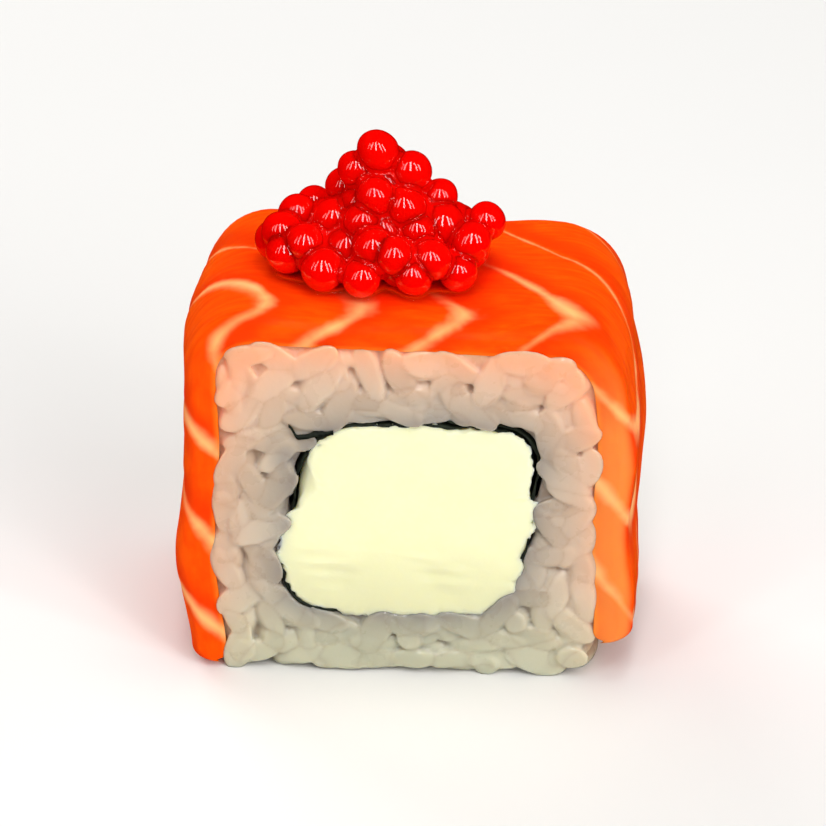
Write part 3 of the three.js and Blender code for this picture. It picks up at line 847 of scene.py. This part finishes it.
def heap_height(x, y):
    away = math.hypot((x - ROE_PEAK[0]) / ROE_HALF_LENGTH, (y - ROE_PEAK[1]) / ROE_HALF_WIDTH)
    shoulder = ROE_SHOULDER * (1 - ROE_SHOULDER_FALL * away**2)
    return max(ROE_HEIGHT * (1 - ROE_STEEPNESS * away), shoulder)


def resting_height(beads, x, y, radius):
    z = radius
    for bx, by, bz, other in beads:
        touch = ROE_SQUASH * (other + radius)
        apart = math.hypot(bx - x, by - y)
        if apart < touch:
            z = max(z, bz + math.sqrt(touch**2 - apart**2))
    return z


def roe_beads():
    """Beads dropped one by one, each into the lowest place found under the heap's outer height."""
    draw = random_from(ROE_SEED)
    beads = []
    for _ in range(ROE_COUNT):
        radius = ROE_DIAMETER / 2 * (1 + ROE_SPREAD * (draw() - 0.5))
        place = None
        for _ in range(ROE_TRIES):
            turn = TAU * draw()
            reach = math.sqrt(draw())
            x = ROE_HALF_LENGTH * reach * math.cos(turn)
            y = ROE_HALF_WIDTH * reach * math.sin(turn)
            z = resting_height(beads, x, y, radius)
            fits = z + radius < max(heap_height(x, y), 2 * radius + ROE_HEADROOM)
            if fits and (place is None or z < place[2]):
                place = (x, y, z, radius)
        if place:
            beads.append(place)
    return beads


def filler_beads(beads, draw):
    """More beads, squeezed into the gaps that the dropped ones left."""
    packed = list(beads)
    for _ in range(FILLER_TRIES):
        radius = ROE_DIAMETER / 2 * draw.uniform(*FILLER_SCALE)
        turn, reach = draw.uniform(0, TAU), math.sqrt(draw.random())
        x = ROE_HALF_LENGTH * reach * math.cos(turn)
        y = ROE_HALF_WIDTH * reach * math.sin(turn)
        z = draw.uniform(radius, ROE_HEIGHT)
        if z + radius > heap_height(x, y) - FILLER_DEPTH:
            continue
        if all(math.dist((x, y, z), bead[:3]) > FILLER_SQUEEZE * (radius + bead[3]) for bead in packed):
            packed.append((x, y, z, radius))
    return packed


def rest_on_salmon(points):
    x = points[:, 0] + ROE_CENTRE[0]
    y = points[:, 1] + ROE_CENTRE[1]
    return np.stack([x, y, points[:, 2] + salmon_top(x, y) + ROE_GAP], 1)


def model_bead():
    clear_bench()
    bpy.ops.mesh.primitive_ico_sphere_add(subdivisions=4, radius=1)
    bead = started("bead")
    points = points_of(bead)
    set_points(bead, points * (1 + BEAD_DENT * uneven(points, size=0.9, seed=14))[:, None])
    return bead


def bead_places(beads, draw, grown=0.0):
    places = []
    for x, y, z, radius in beads:
        turn = Euler([draw.uniform(0, TAU) for _ in range(3)]).to_matrix().to_4x4()
        places.append(Matrix.Translation((x, y, z)) @ Matrix.Scale(radius + grown, 4) @ turn)
    return places


def model_roe(beads, draw):
    """The beads, and the wet that fills the creases between them: the heap swollen, and shrunk back."""
    bead = model_bead()
    roe = joined("roe_beads", bead, copies_at(bead, bead_places(beads, draw)))
    bead = model_bead()
    wet = joined("roe_wet", bead, copies_at(bead, bead_places(beads, draw, WET_SWELL)))
    finish_with(wet, "REMESH", mode="VOXEL", voxel_size=WET_VOXEL)
    finish_with(wet, "SMOOTH", factor=0.5, iterations=2)
    finish_with(wet, "DISPLACE", strength=-WET_SWELL - WET_SINK, mid_level=0)
    finish_with(wet, "SMOOTH", factor=0.5, iterations=2)
    for piece in (roe, wet):
        set_points(piece, rest_on_salmon(points_of(piece)))
    return roe, wet


def juice_reach(beads, turn):
    """How far the pool reaches in each direction: nearly to the outer sides of the lowest beads."""
    reach = np.full(len(turn), JUICE_LEAST_REACH)
    for x, y, z, radius in beads:
        if z > ROE_DIAMETER * JUICE_BEADS:
            continue
        ahead = x * np.cos(turn) + y * np.sin(turn)
        aside = y * np.cos(turn) - x * np.sin(turn)
        wet = radius * JUICE_SHARE
        past = np.sqrt(np.maximum(wet**2 - aside**2, 0)) * (np.abs(aside) < wet)
        reach = np.maximum(reach, ahead + past)
    return reach


def model_juice(beads):
    """A thin pool that the heap stands in, with a rounded rim."""
    clear_bench()
    bpy.ops.mesh.primitive_uv_sphere_add(segments=240, ring_count=64, radius=1)
    piece = started("roe_juice")
    points = points_of(piece)
    spread = np.hypot(points[:, 0], points[:, 1])
    turn = np.arctan2(points[:, 1], points[:, 0])
    steps = np.linspace(-JUICE_SOFTNESS, JUICE_SOFTNESS, 7)
    edge = np.mean([juice_reach(beads, turn + step) for step in steps], 0)
    from_rim = edge * (1 - spread)
    upper = JUICE_DEPTH - rounding(from_rim, JUICE_DEPTH)
    z = np.where(points[:, 2] > 0, upper, JUICE_UNDERSIDE)
    pool = np.stack([edge * points[:, 0], edge * points[:, 1], z - JUICE_SINK], 1)
    set_points(piece, rest_on_salmon(pool))
    add_attribute(piece, "thick", "FLOAT", smoothstep(from_rim, 0.0, JUICE_FULL))
    return piece


# Finishes

def new_finish(name):
    material = bpy.data.materials.new(name)
    material.use_nodes = True
    tree = material.node_tree
    shader = next(n for n in tree.nodes if n.type == "BSDF_PRINCIPLED")
    return material, tree, shader


def add_node(tree, kind, inputs=None, **settings):
    node = tree.nodes.new(kind)
    for key, value in settings.items():
        setattr(node, key, value)
    for key, value in (inputs or {}).items():
        if isinstance(value, bpy.types.NodeSocket):
            tree.links.new(value, node.inputs[key])
        else:
            node.inputs[key].default_value = value
    return node


def math_node(tree, operation, *values):
    return add_node(tree, "ShaderNodeMath", dict(enumerate(values)), operation=operation).outputs[0]


def times(tree, *values):
    return math_node(tree, "MULTIPLY", *values)


def mix_colour(tree, share, low, high):
    node = add_node(tree, "ShaderNodeMix", data_type="RGBA")
    for key, value in ((0, share), (6, low), (7, high)):
        if isinstance(value, bpy.types.NodeSocket):
            tree.links.new(value, node.inputs[key])
        elif key:
            node.inputs[key].default_value = (*value, 1)
        else:
            node.inputs[key].default_value = value
    return node.outputs[2]


def ramp(tree, value, low, high, to_low=0.0, to_high=1.0):
    node = add_node(tree, "ShaderNodeMapRange", {0: value, 1: low, 2: high, 3: to_low, 4: to_high},
                    interpolation_type="SMOOTHSTEP")
    return node.outputs[0]


def lumps(tree, where, scale, detail=3.0, roughness=0.5):
    node = add_node(tree, "ShaderNodeTexNoise",
                    {"Vector": where, "Scale": scale, "Detail": detail, "Roughness": roughness})
    return node.outputs[0]


def in_place(tree):
    return add_node(tree, "ShaderNodeTexCoord").outputs["Object"]


def parts_of(tree, vector):
    return add_node(tree, "ShaderNodeSeparateXYZ", {0: vector}).outputs


def attribute_of(tree, name, output):
    return add_node(tree, "ShaderNodeAttribute", attribute_name=name).outputs[output]


def moist_group():
    """Moist surface: patches of wet and less wet, and fine unevenness for the bump."""
    group = bpy.data.node_groups.new("moist_surface", "ShaderNodeTree")
    for way, names in (("INPUT", ("Scale", "Driest", "Wettest")), ("OUTPUT", ("Roughness", "Height"))):
        for name in names:
            group.interface.new_socket(name=name, in_out=way, socket_type="NodeSocketFloat")
    given = group.nodes.new("NodeGroupInput").outputs
    result = group.nodes.new("NodeGroupOutput").inputs
    where = in_place(group)
    patches = lumps(group, where, given["Scale"])
    fine = lumps(group, where, times(group, given["Scale"], 5.0), detail=4.0)
    dryness = ramp(group, patches, 0.35, 0.65)
    span = math_node(group, "SUBTRACT", given["Driest"], given["Wettest"])
    roughness = math_node(group, "MULTIPLY_ADD", dryness, span, given["Wettest"])
    group.links.new(roughness, result["Roughness"])
    group.links.new(math_node(group, "MULTIPLY_ADD", fine, 0.4, patches), result["Height"])
    return group


MOIST = moist_group()
MOIST_RELIEF = 0.0002


def moist(tree, shader, scale, driest, wettest, strength, height=None):
    """Roughness and bump of a moist surface, with more relief of its own if that is given."""
    node = add_node(tree, "ShaderNodeGroup", node_tree=MOIST)
    for key, value in (("Scale", scale), ("Driest", driest), ("Wettest", wettest)):
        node.inputs[key].default_value = value
    tree.links.new(node.outputs["Roughness"], shader.inputs["Roughness"])
    relief = node.outputs["Height"]
    if height is not None:
        relief = math_node(tree, "ADD", relief, height)
    bump = add_node(tree, "ShaderNodeBump",
                    {"Strength": strength, "Distance": MOIST_RELIEF, "Height": relief})
    tree.links.new(bump.outputs[0], shader.inputs["Normal"])


def set_sockets(shader, **values):
    for key, value in values.items():
        shader.inputs[key.replace("_", " ")].default_value = value


RICE_DULL = (0.42, 0.37, 0.285)
RICE_CLEAR = (0.6, 0.55, 0.44)
RICE_CLOUDY = (0.68, 0.64, 0.53)
RICE_AT_FOOT = (0.54, 0.56, 0.4)
RICE_SEAM_SHADE = (0.3, 0.22, 0.15)
RICE_SALMON_LIGHT_BLEED = (0.95, 0.42, 0.23)
RICE_NORI_SHADE = (0.2, 0.19, 0.19)


def rice_finish():
    material, tree, shader = new_finish("cooked_rice")
    tint = add_node(tree, "ShaderNodeAttribute", attribute_name="rice_tone_light_and_shade").outputs
    salmon_bleed_share, nori_shade_share, tone = add_node(tree, "ShaderNodeSeparateColor", {0: tint["Color"]}).outputs
    where = in_place(tree)
    cloudy = times(tree, lumps(tree, where, scale=260.0), 0.35)
    at_foot = ramp(tree, parts_of(tree, where)[2], 0.011, 0.002, to_high=0.6)
    grain = mix_colour(tree, tone, RICE_DULL, RICE_CLEAR)
    grain = mix_colour(tree, cloudy, grain, RICE_CLOUDY)
    grain = mix_colour(tree, at_foot, grain, RICE_AT_FOOT)
    # Painted shade: rice darkened in the seams between grains and in the gaps behind the cut
    grain = mix_colour(tree, times(tree, tint["Alpha"], 0.7), grain, RICE_SEAM_SHADE)
    # Painted light: salmon-coloured light bleeding into the rice near the slice
    grain = mix_colour(tree, times(tree, salmon_bleed_share, 0.78), grain, RICE_SALMON_LIGHT_BLEED)
    # Painted shade: rice darkened near the nori and in the hollow below its fold
    grain = mix_colour(tree, times(tree, nori_shade_share, 0.6), grain, RICE_NORI_SHADE)
    tree.links.new(grain, shader.inputs["Base Color"])
    set_sockets(shader, Subsurface_Weight=1.0, Subsurface_Radius=(1.0, 0.8, 0.6), Subsurface_Scale=0.0015,
                IOR=1.4, Coat_Weight=0.7, Coat_Roughness=0.06)
    moist(tree, shader, scale=420.0, driest=0.45, wettest=0.25, strength=0.25)
    return material


CURD_DULL = (0.83, 0.815, 0.52)
CURD_BRIGHT = (0.88, 0.87, 0.585)
CURD_SHADED_LOW = (0.72, 0.71, 0.45)


def cheese_finish():
    material, tree, shader = new_finish("soft_cheese")
    where = in_place(tree)
    curd = mix_colour(tree, lumps(tree, where, scale=180.0), CURD_DULL, CURD_BRIGHT)
    # Painted shade: the lower part of the cheese's face is darker, as if in shade
    low = ramp(tree, parts_of(tree, where)[2], 0.016, 0.008, to_high=0.9)
    tree.links.new(mix_colour(tree, low, curd, CURD_SHADED_LOW), shader.inputs["Base Color"])
    stretched = add_node(tree, "ShaderNodeMapping", {"Vector": where, "Scale": (0.25, 1.0, 1.4)}).outputs[0]
    marks = lumps(tree, stretched, scale=900.0, detail=4.0)
    set_sockets(shader, Subsurface_Weight=1.0, Subsurface_Radius=(1.0, 0.9, 0.65), Subsurface_Scale=0.0012,
                IOR=1.4, Specular_IOR_Level=0.2)
    moist(tree, shader, scale=500.0, driest=0.62, wettest=0.42, strength=0.15, height=marks)
    return material


NORI_DARK = (0.004, 0.006, 0.004)
NORI_GREEN = (0.02, 0.027, 0.015)


def nori_finish():
    material, tree, shader = new_finish("dark_nori")
    fibre = lumps(tree, in_place(tree), scale=1400.0, detail=5.0, roughness=0.65)
    leaf = mix_colour(tree, ramp(tree, fibre, 0.35, 0.7), NORI_DARK, NORI_GREEN)
    tree.links.new(leaf, shader.inputs["Base Color"])
    set_sockets(shader, Specular_IOR_Level=0.2)
    moist(tree, shader, scale=700.0, driest=0.6, wettest=0.35, strength=0.5, height=fibre)
    return material


MEAT_DEEP = (0.86, 0.055, 0.001)
MEAT_BRIGHT = (0.96, 0.088, 0.0015)
MEAT_BESIDE_FAT = (0.78, 0.036, 0.001)
MEAT_ON_RICE = (1.0, 0.26, 0.02)
MEAT_PALE = (0.8, 0.32, 0.07)
MEAT_STAINED = (0.9, 0.014, 0.001)
FAT_COLOUR = (1.0, 0.46, 0.17)


def salmon_finish():
    material, tree, shader = new_finish("raw_salmon")
    flesh = attribute_of(tree, "flesh", "Vector")
    along, across, depth = parts_of(tree, flesh)
    phase, arm, stain = parts_of(tree, attribute_of(tree, "fat", "Vector"))

    def flesh_lumps(sizes, detail):
        scaled = add_node(tree, "ShaderNodeMapping", {"Vector": flesh, "Scale": sizes}).outputs[0]
        return lumps(tree, scaled, scale=1.0, detail=detail)

    patchy = flesh_lumps((0.2, 0.2, 0.2), 3.0)
    streaks = flesh_lumps((0.35, 1.6, 0.6), 4.0)

    # The fat lines: widest where they turn back, thinning and fading along their arms
    from_middle = math_node(tree, "SUBTRACT", math_node(tree, "FRACT", phase), 0.5)
    signed = times(tree, from_middle, FAT_SPACING)
    width = ramp(tree, arm, 0.0, 9.0, to_low=1.6, to_high=0.5)
    width = times(tree, width, ramp(tree, patchy, 0.3, 0.7, to_low=0.55, to_high=1.4))
    off = math_node(tree, "DIVIDE", math_node(tree, "ABSOLUTE", signed), width)
    line = ramp(tree, off, 1.0, -0.1)
    line = times(tree, line, ramp(tree, patchy, 0.3, 0.65, to_low=0.35))
    line = times(tree, line, ramp(tree, arm, 1.0, 8.0, to_low=1.0, to_high=0.6))
    line = times(tree, line, ramp(tree, stain, 0.4, 1.0, to_low=1.0, to_high=0.2))

    # The meat: darker on one side of each line, pale where it meets the rice and at the right flap's cuts
    beside = times(tree, ramp(tree, signed, 0.2, 1.0), ramp(tree, signed, 4.5, 1.5))
    on_rice = ramp(tree, depth, 0.7, 0.0, to_high=0.5)
    at_cut = ramp(tree, math_node(tree, "ABSOLUTE", across), 11.0, 11.9, to_high=0.6)
    pale_flap = times(tree, at_cut, ramp(tree, along, 64.5, 74.5))
    meat = mix_colour(tree, ramp(tree, streaks, 0.3, 0.7), MEAT_DEEP, MEAT_BRIGHT)
    meat = mix_colour(tree, times(tree, beside, 0.8), meat, MEAT_BESIDE_FAT)
    meat = mix_colour(tree, on_rice, meat, MEAT_ON_RICE)
    meat = mix_colour(tree, pale_flap, meat, MEAT_PALE)
    meat = mix_colour(tree, times(tree, stain, 0.9), meat, MEAT_STAINED)
    tree.links.new(mix_colour(tree, line, meat, FAT_COLOUR), shader.inputs["Base Color"])
    set_sockets(shader, Subsurface_Weight=0.4, Subsurface_Radius=(1.0, 0.3, 0.08), Subsurface_Scale=0.0012,
                IOR=1.38, Specular_IOR_Level=0.02, Coat_Weight=0.015, Coat_Roughness=0.1)
    moist(tree, shader, scale=260.0, driest=0.5, wettest=0.3, strength=0.08, height=streaks)
    return material


def roe_finish(name, gloss, dull, bright):
    """Red roe of a duller and a brighter red, under a coat of so much gloss."""
    material, tree, shader = new_finish(name)
    cloudy = lumps(tree, in_place(tree), scale=350.0)
    red = mix_colour(tree, cloudy, (dull, 0.0008, 0.0004), (bright, 0.002, 0.0006))
    tree.links.new(red, shader.inputs["Base Color"])
    set_sockets(shader, Roughness=0.12, Subsurface_Weight=1.0, Subsurface_Radius=(1.0, 0.1, 0.05),
                Subsurface_Scale=0.0022, IOR=1.36, Specular_IOR_Level=0.04, Coat_Weight=gloss,
                Coat_Roughness=0.03, Coat_IOR=1.75)
    return material


JUICE_DEEP = (0.72, 0.004, 0.0006)
JUICE_BRIGHT = (0.85, 0.012, 0.001)
JUICE_THIN = (0.92, 0.05, 0.001)


def juice_finish():
    material, tree, shader = new_finish("roe_juice_film")
    thick = attribute_of(tree, "thick", "Fac")
    full = mix_colour(tree, lumps(tree, in_place(tree), scale=240.0), JUICE_DEEP, JUICE_BRIGHT)
    tree.links.new(mix_colour(tree, thick, JUICE_THIN, full), shader.inputs["Base Color"])
    tree.links.new(ramp(tree, thick, 0.0, 0.5, to_high=0.95), shader.inputs["Alpha"])
    set_sockets(shader, Roughness=0.05, IOR=1.34, Coat_Weight=0.7, Coat_Roughness=0.02)
    return material


# The piece

draw = random.Random(SEED)
rice = rice_finish()
serve(model_middle_rice(draw), rice, "rice")
serve(model_cut_rice("rice_front", -1, draw), rice)
serve(model_cut_rice("rice_back", 1, draw), rice)
nori = nori_finish()
serve(model_nori(), nori, "nori")
serve(model_nori_fold(), nori)
serve(model_cheese(), cheese_finish(), "cream_cheese")
serve(model_salmon(), salmon_finish(), "salmon")
heap = filler_beads(roe_beads(), draw)
beads, wet = model_roe(heap, draw)
serve(beads, roe_finish("red_roe", gloss=0.9, dull=0.7, bright=0.84), "roe")
# The wet in the creases gets a brighter red than the beads: painted light that lifts the creases' shade,
# standing in for light coming through the beads
serve(wet, roe_finish("wet_roe", gloss=0.2, dull=0.92, bright=0.98))
serve(model_juice(heap), juice_finish())


# Floor, light and camera, in metres and watts

FLOOR_SIZE = 3
FLOOR_GREY = (0.78, 0.77, 0.75)
FLOOR_PALE = (0.82, 0.81, 0.79)
KEY_POWERS = (0.4, 0.65, 1.2, 1.05, 1.0)  # of a row of five upright strips in front
KEY_SPACING = 0.3
KEY_ROW = (-0.42, 0.5)  # where the row stands, in Y and Z
KEY_SIZE = (0.08, 0.6)
LIGHT_TARGET = (0, 0, 0.02)
AMBIENT = 0.2
SENSOR_WIDTH = 36


def lay_floor():
    clear_bench()
    bpy.ops.mesh.primitive_plane_add(size=FLOOR_SIZE)
    floor = started("floor")
    material, tree, shader = new_finish("pale_floor")
    faint = lumps(tree, in_place(tree), scale=6.0)
    tree.links.new(mix_colour(tree, faint, FLOOR_GREY, FLOOR_PALE), shader.inputs["Base Color"])
    set_sockets(shader, Roughness=0.6)
    floor.data.materials.append(material)
    floor.visible_glossy = False


def hang_light(name, place, size, power, target=LIGHT_TARGET, mirrored=False):
    """A soft light, which shows in glossy surfaces only where it is to be mirrored."""
    light = bpy.data.lights.new(name, "AREA")
    light.shape = "RECTANGLE"
    light.size, light.size_y = size
    light.energy = power
    lamp = bpy.data.objects.new(name, light)
    bpy.context.scene.collection.objects.link(lamp)
    lamp.visible_glossy = mirrored
    lamp.location = place
    lamp.rotation_euler = (Vector(target) - Vector(place)).to_track_quat("-Z", "Y").to_euler()


def light_room():
    """A little light from all around."""
    world = bpy.data.worlds.new("studio")
    bpy.context.scene.world = world
    world.use_nodes = True
    background = world.node_tree.nodes["Background"]
    background.inputs["Color"].default_value = (1, 1, 1, 1)
    background.inputs["Strength"].default_value = AMBIENT
    world.cycles_visibility.glossy = False


def set_camera(azimuth, elevation, distance, target, view_width):
    camera = bpy.data.objects.new("camera", bpy.data.cameras.new("camera"))
    bpy.context.scene.collection.objects.link(camera)
    a, e = math.radians(azimuth), math.radians(elevation)
    back = Vector((math.sin(a) * math.cos(e), -math.cos(a) * math.cos(e), math.sin(e)))
    camera.location = Vector(target) + back * distance
    camera.rotation_euler = (-back).to_track_quat("-Z", "Y").to_euler()
    camera.data.sensor_width = SENSOR_WIDTH
    camera.data.lens = SENSOR_WIDTH * distance / view_width
    camera.data.clip_start, camera.data.clip_end = 0.01, 20
    bpy.context.scene.camera = camera


lay_floor()
for number, power in enumerate(KEY_POWERS):
    along_row = KEY_SPACING * (number - 2)
    hang_light(f"key_{number}", (along_row, *KEY_ROW), KEY_SIZE, power, mirrored=True)
hang_light("fill", (0.4, -0.5, 0.3), size=(0.4, 0.4), power=1.75)
hang_light("top", (0.05, 0.05, 0.7), size=(0.3, 0.3), power=1.55, target=(0, 0, 0.03))
hang_light("back", (-0.35, 0.55, 0.3), size=(0.4, 0.4), power=3.0)
light_room()
bpy.context.scene.view_settings.view_transform = "Standard"
set_camera(azimuth=3.5, elevation=28, distance=0.5, target=(0.0, 0.0, 0.0215), view_width=0.078)
